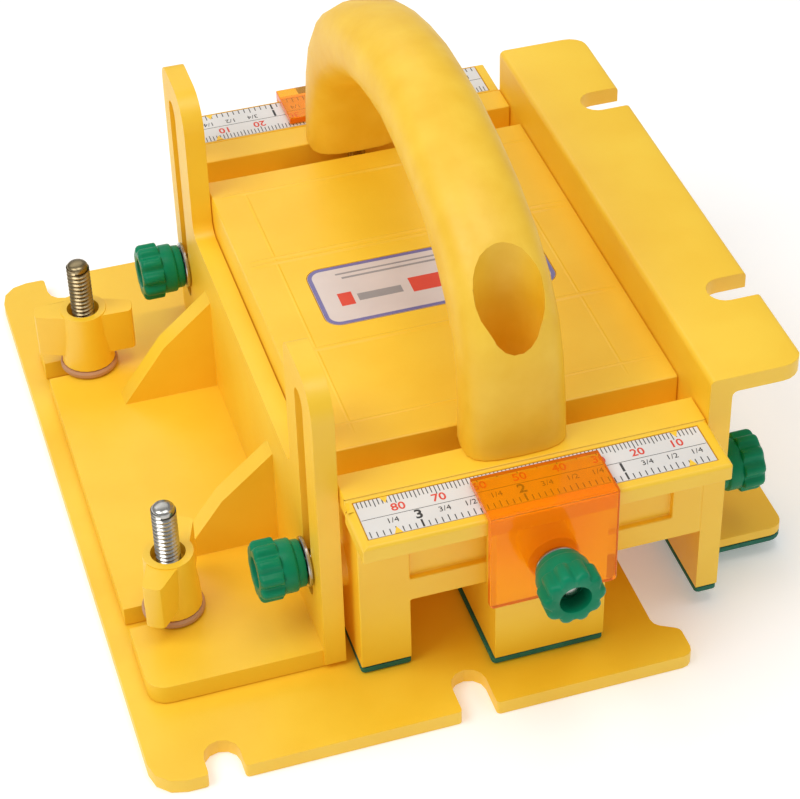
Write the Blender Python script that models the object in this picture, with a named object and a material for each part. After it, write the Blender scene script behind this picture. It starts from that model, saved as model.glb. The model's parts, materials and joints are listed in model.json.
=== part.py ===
"""Hand-held push block for saw and router tables, built from separate named pieces.

Lengths in this file are millimetres and are turned into metres when a mesh is made.
X runs along the scales to the right, Y to the back, Z up. The origin is the centre of
the base plate's underside.
"""
import math

import bmesh
import bpy
from mathutils import Vector

MM = 0.001

# driving dimensions, in millimetres
GAP = 0.3                    # clearance between pieces that touch
BODY_Y = -5.1                # the block's centre plane
DECK_TOP = 62.4
DECK_UNDER = 57.4
BODY_LEFT, BODY_RIGHT = -8.85, 80.35
DECK_LEFT, RAIL_LEFT = -11.2, -11.75
LIP_HALF = {-1: 94.15, 1: 92.0}  # lip edge from the centre plane, front (-1) and rear (1)
LIP_UNDER = 57.6
WEB_HALF, WEB_INNER = 77.95, 71.95
WEB_BOTTOM, CHANNEL_BOTTOM, CHANNEL_DEPTH = 26.0, 33.1, 1.5
CHANNEL_LEFT, CHANNEL_RIGHT = 4.25, 72.65
BAND_TOP, BAND_HALF = 62.8, 77.05
TRENCH_OUTER, TRENCH_INNER = 67.95, 59.2
TRENCH_FLOOR, TRENCH_UNDER = 53.4, 49.4
LEG_BOTTOM = 6.3
LEFT_LEG_RIGHT = 4.25
PAD_BOTTOM, PAD_TOP = 4.4, 6.0

SCALE_NEAR, SCALE_FAR = 78.35, 91.25
SCALE_LEFT, SCALE_RIGHT = -9.35, 77.45
SCALE_THICK = 0.4
LABEL_BOX = (3.65, 66.0, -17.85, 6.35)

WALL_LEFT, WALL_RIGHT = 80.65, 86.55
FLANGE_UNDER, FLANGE_TOP, FLANGE_RIGHT = 70.4, 75.1, 105.85
FLANGE_SLOT_WIDTH, FLANGE_SLOT_END, FLANGE_SLOT_HALF = 9.2, 93.25, 45.1

STAB_LEFT, STAB_FACE, STAB_RIGHT = 86.85, 89.25, 110.7
STAB_FOOT_TOP, STAB_TOP = 9.1, 54.0
STAB_FOOT_HALF, STAB_HALF = 66.2, 70.5

CENTRE_LEFT, CENTRE_RIGHT = 23.65, 52.45
CENTRE_HALF = 85.25
CENTRE_BAR_TOP, CENTRE_UPRIGHT_TOP = 25.7, 56.4
CENTRE_KNOB_X, CENTRE_KNOB_Z = 35.05, 46.1
CURSOR_LEFT, CURSOR_RIGHT = 18.45, 50.75
CURSOR_GAP, CURSOR_THICK, CURSOR_REACH = 0.35, 1.8, 15.25
CURSOR_BOTTOM, CURSOR_UNDER, CURSOR_TOP = 35.4, 62.7, 64.7

BRACKET_Y = -3.6
BRACKET_HALF = 74.75
BRACKET_OUT, BRACKET_IN = -17.0, -11.5
EAR_TOP, EAR_WIDTH, WALL_TOP = 92.8, 24.5, 51.4
EAR_SLOTS_Y = (-66.4, 61.4)
EAR_SLOT_WIDTH, EAR_SLOT_LOW, EAR_SLOT_HIGH = 7.0, 20.4, 85.4
FOOT_LEFT, FOOT_BOTTOM, FOOT_TOP, FOOT_HALF = -61.05, 4.4, 9.9, 73.7
FOOT_SLOT_WIDTH, FOOT_SLOT_END = 7.0, -43.0
GUSSETS = ((-34.35, -28.6), (31.25, 37.0))

PLATE_THICK = 4.1
PLATE_HALF_X, PLATE_HALF_Y = 66.25, 102.85
PLATE_TAB_X = 72.4
PLATE_SLOT_WIDTH = 9.0
PLATE_SLOTS_X = (-48.4, 15.5)
BOLT_X, BOLTS_Y, BOLT_TOP, BOLT_RADIUS = -48.75, (-50.95, 52.65), 45.2, 3.175
NUT_HEIGHT, WING_HALF, WING_HEIGHT = 17.1, 13.4, 13.5

SIDE_KNOB_Z = 30.8
RIGHT_KNOB_HALF = 61.25
STUD_RADIUS, STUD_HOLE = 3.0, 3.3
KNOB_RADIUS, KNOB_LENGTH, KNOB_LOBES = 7.85, 12.0, 10

HANDLE_X, HANDLE_HALF_WIDTH = 33.65, 13.0
HANDLE_SCREW_HALF = 64.8
HANDLE_SCREW_RADIUS = 2.5
HANDLE_TRAVEL = 18.0


# ---- materials -------------------------------------------------------------------------

def material(name, colour, roughness, metallic=0.0, alpha=1.0):
    made = bpy.data.materials.new(name)
    made.use_nodes = True
    shader = made.node_tree.nodes["Principled BSDF"]
    shader.inputs["Base Color"].default_value = (*colour, 1.0)
    shader.inputs["Roughness"].default_value = roughness
    shader.inputs["Metallic"].default_value = metallic
    shader.inputs["Alpha"].default_value = alpha
    made.diffuse_color = (*colour, alpha)
    return made


for old in list(bpy.data.objects):
    bpy.data.objects.remove(old, do_unlink=True)

YELLOW = material("yellow_plastic", (0.86, 0.52, 0.03), 0.38)
GREEN = material("green_knob_plastic", (0.01, 0.28, 0.17), 0.28)
RUBBER = material("green_rubber", (0.02, 0.25, 0.20), 0.85)
ORANGE = material("orange_acrylic", (0.90, 0.22, 0.02), 0.12, alpha=0.7)
NYLON = material("tan_nylon", (0.72, 0.50, 0.40), 0.5)
ZINC = material("silver_zinc", (0.62, 0.62, 0.60), 0.32, metallic=1.0)
YELLOW_ZINC = material("yellow_zinc", (0.50, 0.38, 0.20), 0.35, metallic=1.0)
STICKER = material("scale_sticker", (0.86, 0.84, 0.78), 0.4)
LABEL = material("label_sticker", (0.80, 0.80, 0.84), 0.35)


# ---- mesh helpers ----------------------------------------------------------------------

def finish(bm, name, look, origin=(0, 0, 0), smooth=False):
    """Turn a bmesh in millimetres into an object whose origin is at the given point."""
    bmesh.ops.remove_doubles(bm, verts=bm.verts, dist=1e-5)
    bmesh.ops.recalc_face_normals(bm, faces=bm.faces)
    bmesh.ops.translate(bm, verts=bm.verts, vec=-Vector(origin))
    bmesh.ops.scale(bm, verts=bm.verts, vec=(MM, MM, MM))
    mesh = bpy.data.meshes.new(name)
    bm.to_mesh(mesh)
    bm.free()
    if look:
        mesh.materials.append(look)
    if smooth:
        mesh.polygons.foreach_set("use_smooth", [True] * len(mesh.polygons))
        mesh.set_sharp_from_angle(angle=math.radians(32))
    made = bpy.data.objects.new(name, mesh)
    made.location = Vector(origin) * MM
    bpy.context.collection.objects.link(made)
    return made


def place(axis, u, v, t):
    """Plane coordinates (u, v) and a height t along an axis, as a 3-D point."""
    return {"X": (t, u, v), "Y": (u, t, v), "Z": (u, v, t)}[axis]


def prism(name, axis, outline, low, high, look=None, origin=(0, 0, 0), smooth=False):
    bm = bmesh.new()
    ends = [[bm.verts.new(place(axis, u, v, t)) for u, v in outline] for t in (low, high)]
    bm.faces.new(ends[0])
    bm.faces.new(ends[1])
    count = len(outline)
    for i in range(count):
        j = (i + 1) % count
        bm.faces.new((ends[0][i], ends[0][j], ends[1][j], ends[1][i]))
    return finish(bm, name, look, origin, smooth)


def rounded(corners, step=18.0):
    """Outline through (u, v, radius) corners, with every corner turned into an arc."""
    outline = []
    count = len(corners)
    for i, (u, v, radius) in enumerate(corners):
        here = Vector((u, v))
        if radius <= 0:
            outline.append((u, v))
            continue
        back = (Vector(corners[i - 1][:2]) - here).normalized()
        ahead = (Vector(corners[(i + 1) % count][:2]) - here).normalized()
        half = math.acos(max(-1.0, min(1.0, back.dot(ahead)))) / 2
        reach = radius / math.tan(half)
        centre = here + (back + ahead).normalized() * (radius / math.sin(half))
        first = here + back * reach - centre
        last = here + ahead * reach - centre
        turn = math.atan2(first.x * last.y - first.y * last.x, first.dot(last))
        pieces = max(1, round(abs(math.degrees(turn)) / step))
        for k in range(pieces + 1):
            angle = turn * k / pieces
            cos, sin = math.cos(angle), math.sin(angle)
            outline.append((centre.x + first.x * cos - first.y * sin,
                            centre.y + first.x * sin + first.y * cos))
    return outline


def rectangle(u0, u1, v0, v1, radius=0.0, step=18.0):
    return rounded([(u0, v0, radius), (u1, v0, radius), (u1, v1, radius), (u0, v1, radius)], step)


def circle(u, v, radius, count=20):
    return [(u + radius * math.cos(2 * math.pi * (k + 0.5) / count),
             v + radius * math.sin(2 * math.pi * (k + 0.5) / count)) for k in range(count)]


def lathe(name, axis, centre, profile, look, count=20, shape=None, origin=None, closed=False):
    """Turn (radius, height) points about an axis; shape(angle) may scale marked radii.

    A profile row is (radius, height) or (radius, height, lobe depth).
    """
    bm = bmesh.new()
    rows = []
    for row in profile:
        radius, height = row[0], row[1]
        depth = row[2] if len(row) > 2 else 0.0
        if radius == 0:
            rows.append([bm.verts.new(place(axis, centre[0], centre[1], height))])
            continue
        ring = []
        for k in range(count):
            angle = 2 * math.pi * k / count
            r = radius - depth * (shape(angle) if shape else 0.0)
            ring.append(bm.verts.new(place(axis, centre[0] + r * math.cos(angle),
                                           centre[1] + r * math.sin(angle), height)))
        rows.append(ring)
    pairs = list(zip(rows, rows[1:]))
    if closed:
        pairs.append((rows[-1], rows[0]))
    for one, two in pairs:
        for k in range(count):
            j = (k + 1) % count
            if len(one) == 1:
                bm.faces.new((one[0], two[k], two[j]))
            elif len(two) == 1:
                bm.faces.new((one[k], one[j], two[0]))
            else:
                bm.faces.new((one[k], one[j], two[j], two[k]))
    return finish(bm, name, look, origin or (0, 0, 0), smooth=True)


def combine(target, operation, *tools):
    """Apply hidden helper solids to a piece with exact booleans."""
    for tool in tools:
        tool.hide_render = True
        tool.display_type = "WIRE"
        modifier = target.modifiers.new(tool.name, "BOOLEAN")
        modifier.operation = operation
        modifier.solver = "EXACT"
        modifier.object = tool
    return target


def mirrored(half):
    """The two Y positions at one distance either side of the block's centre plane."""
    return BODY_Y - half, BODY_Y + half


# ---- the block's body ------------------------------------------------------------------

def body_section():
    """Section across the block: each half is (distance from the centre plane, height)."""
    outline = []
    for sign in (-1, 1):
        lip = LIP_HALF[sign]
        half = [(TRENCH_INNER, DECK_TOP), (TRENCH_INNER, TRENCH_FLOOR),
                (TRENCH_OUTER, TRENCH_FLOOR), (TRENCH_OUTER, BAND_TOP), (BAND_HALF, BAND_TOP),
                (BAND_HALF, DECK_TOP), (lip, DECK_TOP), (lip, LIP_UNDER),
                (WEB_HALF, LIP_UNDER), (WEB_HALF, WEB_BOTTOM), (WEB_INNER, WEB_BOTTOM),
                (WEB_INNER, TRENCH_UNDER), (TRENCH_INNER - 3, TRENCH_UNDER),
                (TRENCH_INNER - 3, DECK_UNDER)]
        half = half if sign < 0 else reversed(half)
        outline += [(BODY_Y + sign * d, z) for d, z in half]
    return outline


def make_body():
    body = prism("main_body", "X", body_section(), RAIL_LEFT, BODY_RIGHT + 1, YELLOW)
    front, back = mirrored(WEB_HALF)
    inner_front, inner_back = mirrored(TRENCH_INNER - 1.5)
    leg = prism("tool_left_leg", "X", [
        (front, LEG_BOTTOM), (back, LEG_BOTTOM), (back, TRENCH_UNDER + 2),
        (inner_back, TRENCH_UNDER + 2), (inner_back, DECK_UNDER + 2),
        (inner_front, DECK_UNDER + 2), (inner_front, TRENCH_UNDER + 2),
        (front, TRENCH_UNDER + 2)], DECK_LEFT - 0.5, LEFT_LEG_RIGHT)
    blocks = [leg]
    for side, sign in (("front", -1), ("rear", 1)):
        near, far = sorted((BODY_Y + sign * 53.0, BODY_Y + sign * 74.0))
        blocks.append(prism("tool_insert_block_" + side, "X",
                            rectangle(near, far, WEB_BOTTOM, TRENCH_UNDER + 1.5),
                            68.0, BODY_RIGHT + 2))
    for side, half in (("front", -30.0), ("rear", 30.0)):
        rib = BODY_Y + half
        blocks.append(prism("tool_rib_" + side, "X",
                            rectangle(rib - 1.5, rib + 1.5, 50.0, DECK_UNDER + 2),
                            LEFT_LEG_RIGHT - 2, BODY_RIGHT + 2))
    combine(body, "UNION", *blocks)

    edge_front, edge_back = mirrored(79.25)
    web_left = [(-110, 0), (100, 0), (100, LIP_UNDER), (inner_back + 4, LIP_UNDER),
                (inner_back + 4, TRENCH_UNDER + 1), (inner_front - 4, TRENCH_UNDER + 1),
                (inner_front - 4, LIP_UNDER), (-110, LIP_UNDER)]
    trims = [prism("tool_trim_deck", "Z", rectangle(-16, DECK_LEFT, edge_front, edge_back),
                   0, 70),
             prism("tool_trim_web", "X", web_left, -17, BODY_LEFT),
             prism("tool_trim_right", "Z", rectangle(BODY_RIGHT, 86, -120, 110), 0, 70)]
    combine(body, "DIFFERENCE", *trims)
    pads = [lathe("tool_left_boss_%d" % i, "X", (y, SIDE_KNOB_Z),
                  [(0, BRACKET_IN + GAP), (8, BRACKET_IN + GAP), (8, -5), (0, -5)], None, 28)
            for i, y in enumerate(EAR_SLOTS_Y)]
    combine(body, "UNION", *pads)

    cuts = []
    for side, sign, left_y in (("front", -1, EAR_SLOTS_Y[0]), ("rear", 1, EAR_SLOTS_Y[1])):
        face = BODY_Y + sign * WEB_HALF
        near, far = sorted((face + sign * 1.0, face - sign * CHANNEL_DEPTH))
        cuts.append(prism("tool_channel_" + side, "Y",
                          rectangle(CHANNEL_LEFT, CHANNEL_RIGHT, CHANNEL_BOTTOM, LIP_UNDER),
                          near, far))
        near, far = sorted((BODY_Y + sign * (SCALE_NEAR - 0.3), BODY_Y + sign * (SCALE_FAR + 0.3)))
        cuts.append(prism("tool_scale_seat_" + side, "Z",
                          rectangle(SCALE_LEFT - 0.3, SCALE_RIGHT + 0.3, near, far),
                          DECK_TOP - SCALE_THICK - GAP, DECK_TOP + 2))
        screw = BODY_Y + sign * HANDLE_SCREW_HALF
        reach = HANDLE_TRAVEL + HANDLE_SCREW_RADIUS + 0.4
        cuts.append(prism("tool_trench_slot_" + side, "Z",
                          rectangle(HANDLE_X - reach, HANDLE_X + reach,
                                    screw - 2.85, screw + 2.85, 2.8, 30), 45, 55))
        cuts.append(prism("tool_left_hole_" + side, "X",
                          circle(left_y, SIDE_KNOB_Z, STUD_HOLE), -14, 2.3))
        cuts.append(prism("tool_right_hole_" + side, "X",
                          circle(BODY_Y + sign * RIGHT_KNOB_HALF, SIDE_KNOB_Z, STUD_HOLE),
                          71.7, 84))
    x0, x1, y0, y1 = LABEL_BOX
    cuts.append(prism("tool_label_seat", "Z",
                      rectangle(x0 - 0.3, x1 + 0.3, y0 - 0.3, y1 + 0.3, 4.3),
                      DECK_TOP - SCALE_THICK - GAP, DECK_TOP + 2))
    combine(body, "DIFFERENCE", *cuts)


def make_pads():
    front, back = mirrored(WEB_HALF)
    prism("left_leg_pad", "Z", rectangle(BODY_LEFT, LEFT_LEG_RIGHT, front, back, 1.0, 45),
          PAD_BOTTOM, PAD_TOP, RUBBER)
    prism("right_leg_pad", "Z", rectangle(WALL_LEFT, WALL_RIGHT, front, back, 1.0, 45),
          PAD_BOTTOM, PAD_TOP, RUBBER)


def make_stickers():
    for side, sign in (("front", -1), ("rear", 1)):
        near, far = sorted((BODY_Y + sign * SCALE_NEAR, BODY_Y + sign * SCALE_FAR))
        prism(side + "_scale", "Z", rectangle(SCALE_LEFT, SCALE_RIGHT, near, far),
              DECK_TOP - SCALE_THICK, DECK_TOP, STICKER)
    x0, x1, y0, y1 = LABEL_BOX
    prism("deck_label", "Z", rectangle(x0, x1, y0, y1, 4.0),
          DECK_TOP - SCALE_THICK, DECK_TOP, LABEL)


# ---- right leg and stabiliser ----------------------------------------------------------

def make_right_leg():
    front, back = mirrored(WEB_HALF)
    section = rounded([(WALL_LEFT, LEG_BOTTOM, 0), (WALL_RIGHT, LEG_BOTTOM, 0),
                       (WALL_RIGHT, FLANGE_UNDER, 1.5), (FLANGE_RIGHT, FLANGE_UNDER, 0),
                       (FLANGE_RIGHT, FLANGE_TOP, 1.2), (WALL_LEFT, FLANGE_TOP, 1.5)], 30)
    leg = prism("right_leg_bracket", "Y", section, front - 1, back + 1, YELLOW)
    half = FLANGE_SLOT_WIDTH / 2
    low, high = mirrored(FLANGE_SLOT_HALF)
    plan = rounded([
        (WALL_LEFT - 2, front, 0), (FLANGE_RIGHT + 0.01, front, 6),
        (FLANGE_RIGHT + 0.01, low - half, 0), (FLANGE_SLOT_END, low - half, half - 0.05),
        (FLANGE_SLOT_END, low + half, half - 0.05), (FLANGE_RIGHT + 0.01, low + half, 0),
        (FLANGE_RIGHT + 0.01, high - half, 0), (FLANGE_SLOT_END, high - half, half - 0.05),
        (FLANGE_SLOT_END, high + half, half - 0.05), (FLANGE_RIGHT + 0.01, high + half, 0),
        (FLANGE_RIGHT + 0.01, back, 6), (WALL_LEFT - 2, back, 0)])
    combine(leg, "INTERSECT", prism("tool_right_leg_plan", "Z", plan, 0, 90))
    holes = [prism("tool_wall_hole_%d" % i, "X", circle(y, SIDE_KNOB_Z, STUD_HOLE), 78, 89)
             for i, y in enumerate(mirrored(RIGHT_KNOB_HALF))]
    combine(leg, "DIFFERENCE", *holes)


def make_stabiliser():
    front, back = mirrored(STAB_FOOT_HALF)
    origin = (STAB_FACE, BODY_Y, SIDE_KNOB_Z)
    outline = rounded([(STAB_LEFT + 0.6, front, 0), (STAB_RIGHT, front, 4),
                       (STAB_RIGHT, back, 4), (STAB_LEFT + 0.6, back, 0)])
    foot = prism("stabilizer_plate", "Z", outline, LEG_BOTTOM, STAB_FOOT_TOP, YELLOW, origin)
    near, far = mirrored(STAB_HALF)
    upright = prism("tool_stabilizer_upright", "X", rounded([
        (near, LEG_BOTTOM + 0.5, 0), (far, LEG_BOTTOM + 0.5, 0), (far, STAB_TOP, 6),
        (near, STAB_TOP, 6)]), STAB_LEFT, STAB_FACE)
    combine(foot, "UNION", upright)
    slots = [prism("tool_stabilizer_slot_%d" % i, "X",
                   rectangle(y - 3.5, y + 3.5, 14.4, 49.4, 3.45, 22.5), 84, 93)
             for i, y in enumerate(mirrored(RIGHT_KNOB_HALF))]
    combine(foot, "DIFFERENCE", *slots)
    prism("stabilizer_pad", "Z", outline, PAD_BOTTOM, PAD_TOP, RUBBER, origin)


# ---- centre leg and cursors ------------------------------------------------------------

def make_centre_leg():
    origin = (CENTRE_KNOB_X, BODY_Y, CENTRE_KNOB_Z)
    front, back = mirrored(CENTRE_HALF)
    face_front, face_back = mirrored(WEB_HALF + GAP)
    tongue_front, tongue_back = mirrored(WEB_HALF + GAP - CHANNEL_DEPTH)
    section = [(front, LEG_BOTTOM), (back, LEG_BOTTOM), (back, CENTRE_UPRIGHT_TOP),
               (face_back, CENTRE_UPRIGHT_TOP), (face_back, CENTRE_BAR_TOP),
               (face_front, CENTRE_BAR_TOP), (face_front, CENTRE_UPRIGHT_TOP),
               (front, CENTRE_UPRIGHT_TOP)]
    leg = prism("centre_leg", "X", section, CENTRE_LEFT, CENTRE_RIGHT, YELLOW, origin)
    adds, cuts = [], []
    for side, sign in (("front", -1), ("rear", 1)):
        near, far = sorted((BODY_Y + sign * (WEB_HALF + 3),
                            BODY_Y + sign * (WEB_HALF + GAP - CHANNEL_DEPTH)))
        adds.append(prism("tool_tongue_" + side, "Y",
                          rectangle(CENTRE_KNOB_X - 9, CENTRE_KNOB_X + 9,
                                    CHANNEL_BOTTOM + GAP, CENTRE_UPRIGHT_TOP - 0.4), near, far))
        low, high = sorted((BODY_Y + sign * (CENTRE_HALF - 2),
                            BODY_Y + sign * (LIP_HALF[sign] + CURSOR_GAP - GAP)))
        adds.append(prism("tool_knob_boss_" + side, "Y",
                          circle(CENTRE_KNOB_X, CENTRE_KNOB_Z, 6.5, 24), low, high))
        low, high = sorted((BODY_Y + sign * 79.0, BODY_Y + sign * 98.0))
        cuts.append(prism("tool_centre_hole_" + side, "Y",
                          circle(CENTRE_KNOB_X, CENTRE_KNOB_Z, STUD_HOLE), low, high))
    combine(leg, "UNION", *adds)
    combine(leg, "DIFFERENCE", *cuts)
    prism("centre_leg_pad", "Z", rectangle(CENTRE_LEFT - 0.6, CENTRE_RIGHT, front, back, 1, 45),
          PAD_BOTTOM, PAD_TOP, RUBBER, origin)


def make_cursors():
    origin = (CENTRE_KNOB_X, BODY_Y, CENTRE_KNOB_Z)
    for side, sign in (("front", -1), ("rear", 1)):
        inner = LIP_HALF[sign] + CURSOR_GAP
        outer = inner + CURSOR_THICK
        section = [(BODY_Y + sign * d, z) for d, z in (
            (outer - CURSOR_REACH, CURSOR_UNDER), (inner, CURSOR_UNDER),
            (inner, CURSOR_BOTTOM), (outer, CURSOR_BOTTOM),
            (outer, CURSOR_TOP), (outer - CURSOR_REACH, CURSOR_TOP))]
        cursor = prism(side + "_cursor", "X", section, CURSOR_LEFT - 1, CURSOR_RIGHT + 1,
                       ORANGE, origin)
        near, far = sorted((BODY_Y + sign * (outer - CURSOR_REACH - 2), BODY_Y + sign * (outer + 2)))
        shape = rounded([(CURSOR_LEFT, CURSOR_BOTTOM, 1.2), (CURSOR_RIGHT, CURSOR_BOTTOM, 1.2),
                         (CURSOR_RIGHT, CURSOR_TOP + 1, 0), (CURSOR_LEFT, CURSOR_TOP + 1, 0)])
        combine(cursor, "INTERSECT", prism("tool_cursor_shape_" + side, "Y", shape, near, far))
        combine(cursor, "DIFFERENCE", prism("tool_cursor_hole_" + side, "Y", circle(
            CENTRE_KNOB_X, CENTRE_KNOB_Z, STUD_HOLE), near, far))


# ---- clamping knobs --------------------------------------------------------------------

def make_clamp(name, axis, centre, face, outward, washer_radius, washer_thick, anchor):
    """Stud, washer and lobed knob stacked outwards from a clamped face."""
    washer_in = face + outward * GAP
    washer_out = washer_in + outward * washer_thick
    knob_in = washer_out + outward * GAP
    knob_out = knob_in + outward * KNOB_LENGTH
    origin = place(axis, centre[0], centre[1], knob_in)
    lathe(name + "_washer", axis, centre,
          [(STUD_HOLE, washer_in), (washer_radius, washer_in), (washer_radius, washer_out),
           (STUD_HOLE, washer_out)], ZINC, 20, closed=True, origin=origin)

    def lobes(angle):
        return 0.5 - 0.5 * math.cos(KNOB_LOBES * angle)

    collar, head = knob_in + outward * 2.2, knob_in + outward * 6.2
    rim, recess = knob_out - outward * 0.8, knob_out - outward * 5.0
    lathe(name + "_knob", axis, centre,
          [(STUD_HOLE, knob_in), (5.9, knob_in), (6.1, collar), (6.8, collar), (6.6, head),
           (KNOB_RADIUS, head, 1.1), (KNOB_RADIUS, rim, 1.1), (KNOB_RADIUS - 0.7, knob_out, 0.9),
           (3.9, knob_out), (3.9, recess), (STUD_HOLE, recess)],
          GREEN, 40, shape=lobes, closed=True, origin=origin)
    lathe(name + "_stud", axis, centre,
          [(0, anchor), (STUD_RADIUS, anchor), (STUD_RADIUS, knob_out - outward * 4.0),
           (STUD_RADIUS - 0.6, knob_out - outward * 3.4), (0, knob_out - outward * 3.4)],
          ZINC, 16, origin=origin)


def make_clamps():
    for side, sign, left_y in (("front", -1, EAR_SLOTS_Y[0]), ("rear", 1, EAR_SLOTS_Y[1])):
        make_clamp("left_" + side, "X", (left_y, SIDE_KNOB_Z), BRACKET_OUT, -1, 6.5, 1.0, 2.0)
        make_clamp("right_" + side, "X", (BODY_Y + sign * RIGHT_KNOB_HALF, SIDE_KNOB_Z),
                   STAB_FACE, 1, 6.5, 1.0, 72.0)
        cursor_face = BODY_Y + sign * (LIP_HALF[sign] + CURSOR_GAP + CURSOR_THICK)
        make_clamp("centre_" + side, "Y", (CENTRE_KNOB_X, CENTRE_KNOB_Z), cursor_face, sign,
                   5.5, 1.0, BODY_Y + sign * 79.3)


# ---- support bracket -------------------------------------------------------------------

def make_bracket():
    origin = (BRACKET_OUT, BRACKET_Y, SIDE_KNOB_Z)
    front, back = BRACKET_Y - BRACKET_HALF, BRACKET_Y + BRACKET_HALF
    ear_front, ear_back = front + EAR_WIDTH, back - EAR_WIDTH
    wall = prism("support_bracket", "X", rounded([
        (front, FOOT_BOTTOM + 1.1, 0), (back, FOOT_BOTTOM + 1.1, 0), (back, EAR_TOP, 5),
        (ear_back, EAR_TOP, 9.5), (ear_back, WALL_TOP, 4), (ear_front, WALL_TOP, 4),
        (ear_front, EAR_TOP, 5), (front, EAR_TOP, 9.5)]),
        BRACKET_OUT, BRACKET_IN, YELLOW, origin)
    half = FOOT_SLOT_WIDTH / 2
    foot_front, foot_back = BRACKET_Y - FOOT_HALF, BRACKET_Y + FOOT_HALF
    corners = [(BRACKET_IN - 0.7, foot_back, 0), (FOOT_LEFT, foot_back, 5)]
    for y in reversed(BOLTS_Y):
        corners += [(FOOT_LEFT, y + half, 0), (FOOT_SLOT_END, y + half, half - 0.02),
                    (FOOT_SLOT_END, y - half, half - 0.02), (FOOT_LEFT, y - half, 0)]
    corners += [(FOOT_LEFT, foot_front, 5), (BRACKET_IN - 0.7, foot_front, 0)]
    adds = [prism("tool_bracket_foot", "Z", rounded(corners, 22.5), FOOT_BOTTOM, FOOT_TOP)]
    for i, (y0, y1) in enumerate(GUSSETS):
        adds.append(prism("tool_gusset_%d" % i, "Y",
                          [(-14.5, 8.0), (-14.5, 41.3), (-31.0, 26.8), (-44.6, 8.0)], y0, y1))
    combine(wall, "UNION", *adds)
    slots = [prism("tool_ear_slot_%d" % i, "X",
                   rectangle(y - EAR_SLOT_WIDTH / 2, y + EAR_SLOT_WIDTH / 2, EAR_SLOT_LOW,
                             EAR_SLOT_HIGH, 3.45, 22.5), -22, -6)
             for i, y in enumerate(EAR_SLOTS_Y)]
    combine(wall, "DIFFERENCE", *slots)


# ---- base plate with its bolts and wing nuts -------------------------------------------

def make_base_plate():
    half = PLATE_SLOT_WIDTH / 2
    corners = []
    for sign in (-1, 1):
        edge = sign * PLATE_HALF_Y
        ends = (-92.9, -89.6) if sign < 0 else (92.2, 92.2)
        side = [(-PLATE_HALF_X, edge, 8)]
        for x, end in zip(PLATE_SLOTS_X, ends):
            side += [(x - half, edge, 1), (x - half, end, half - 0.02),
                     (x + half, end, half - 0.02), (x + half, edge, 1)]
        side += [(PLATE_TAB_X, edge, 3), (PLATE_TAB_X, edge - sign * 9.5, 2),
                 (PLATE_HALF_X, edge - sign * 13.0, 3)]
        corners += side if sign < 0 else reversed(side)
    origin = (BOLT_X, 0, 0)
    plate = prism("base_plate", "Z", rounded(corners, 30), 0, PLATE_THICK, YELLOW, origin)
    for i, y in enumerate(BOLTS_Y):
        side = ("front", "rear")[i]
        combine(plate, "DIFFERENCE",
                prism("tool_plate_hole_" + side, "Z", circle(BOLT_X, y, 3.5), -2, 6),
                prism("tool_plate_sink_" + side, "Z", circle(BOLT_X, y, 6.6, 24), -2, 2.4))


def make_plate_bolts():
    for side, y, look, turn in (("front", BOLTS_Y[0], ZINC, 59.0),
                                ("rear", BOLTS_Y[1], YELLOW_ZINC, -11.0)):
        origin = (BOLT_X, y, FOOT_TOP)
        lathe(side + "_plate_bolt", "Z", (BOLT_X, y),
              [(0, 0.3), (6.2, 0.3), (6.2, 2.1), (BOLT_RADIUS, 2.1),
               (BOLT_RADIUS, BOLT_TOP - 0.7), (BOLT_RADIUS - 0.7, BOLT_TOP), (0, BOLT_TOP)],
              look, 20, origin=origin)
        low = FOOT_TOP + GAP
        lathe(side + "_nylon_washer", "Z", (BOLT_X, y),
              [(3.5, low), (8.0, low), (8.0, low + 2.0), (3.5, low + 2.0)], NYLON, 24,
              closed=True, origin=origin)
        bottom = low + 2.0 + GAP
        top = bottom + NUT_HEIGHT
        nut = lathe(side + "_wing_nut", "Z", (BOLT_X, y),
                    [(3.5, bottom), (7.4, bottom), (7.2, bottom + 5), (6.6, bottom + 10),
                     (6.4, top), (4.45, top), (4.45, top - 4), (3.5, top - 5)],
                    YELLOW, 24, closed=True, origin=origin)
        along = Vector((math.cos(math.radians(turn)), math.sin(math.radians(turn))))
        across = Vector((-along.y, along.x))
        for i, sign in enumerate((-1, 1)):
            outline = []
            for u, v in rounded([(4.9, -4.0, 0), (WING_HALF, -2.4, 1.2), (WING_HALF, 2.4, 1.2),
                                 (4.9, 4.0, 0)], 45):
                spot = along * (u * sign) + across * (v * sign)
                outline.append((BOLT_X + spot.x, y + spot.y))
            wing = prism("tool_wing_%s_%d" % (side, i), "Z", outline, top - WING_HEIGHT, top - 0.3)
            combine(nut, "UNION", wing)


# ---- handle ----------------------------------------------------------------------------

HANDLE_OUTER = ((-80.75, 63.1), (-80.2, 75.4), (-78.6, 87.5), (-75.2, 98.5), (-69.0, 108.0),
                (-60.0, 114.8), (-46.35, 120.5), (-31.35, 125.0), (-17.0, 128.3))
HANDLE_INNER = ((-64.85, 63.1), (-64.3, 71.5), (-62.95, 79.4), (-60.2, 86.5), (-54.5, 91.8),
                (-46.5, 98.2), (-36.5, 103.5), (-25.5, 106.2), (-15.0, 107.1))
HANDLE_CROWN = ((BODY_Y, 129.4), (BODY_Y, 107.3))
# height, half width and half depth of the oval screw bore
BORE_ROWS = ((69.0, 3.9, 3.9), (86.0, 7.4, 7.0), (94.0, 8.5, 7.75), (135.0, 8.5, 7.75))


def handle_stations():
    front = list(zip(HANDLE_OUTER, HANDLE_INNER))
    back = [tuple((2 * BODY_Y - y, z) for y, z in pair) for pair in reversed(front)]
    return front + [HANDLE_CROWN] + back


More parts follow.
